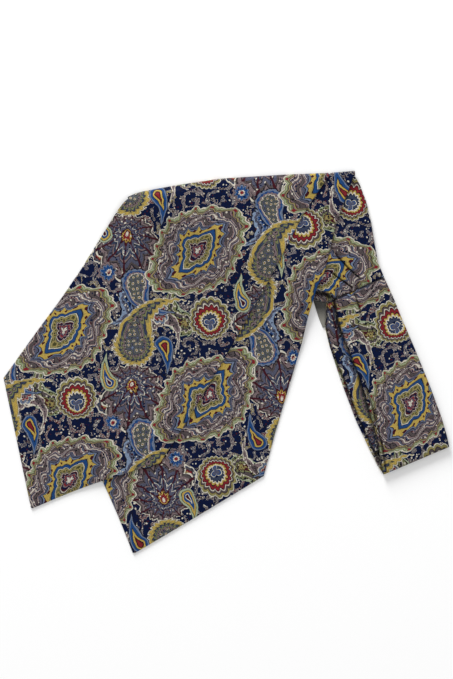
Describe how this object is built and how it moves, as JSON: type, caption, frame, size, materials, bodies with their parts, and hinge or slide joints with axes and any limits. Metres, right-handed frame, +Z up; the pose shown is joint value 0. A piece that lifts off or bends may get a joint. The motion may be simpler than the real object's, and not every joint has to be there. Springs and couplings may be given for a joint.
{
  "type": "silk cravat",
  "caption": "Printed silk cravat with two wide pointed ends and a pleated neckband, folded in half and laid flat.",
  "frame": {"origin": "centre of the folded cravat's outline, on the surface it lies on", "axes": "+Z up out of the surface; +X to the picture's right, +Y to the picture's top; the top fold lies at +Y and the neckband at +X"},
  "size_m": [0.3562, 0.3052, 0.0084],
  "materials": {
    "front_blade": "printed silk twill, soft sheen",
    "back_blade": "printed silk twill, soft sheen",
    "back_gather": "printed silk twill, soft sheen",
    "front_gather": "printed silk twill, soft sheen",
    "neck_band": "printed silk twill, soft sheen",
    "band_pleat": "printed silk twill, soft sheen",
    "band_lining": "plain unprinted back of the silk, matt"
  },
  "bodies": {
    "root": {"front_blade": "front_blade", "back_blade": "back_blade", "back_gather": "back_gather", "front_gather": "front_gather", "neck_band": "neck_band", "band_pleat": "band_pleat", "band_lining": "band_lining"}
  },
  "joints": []
}
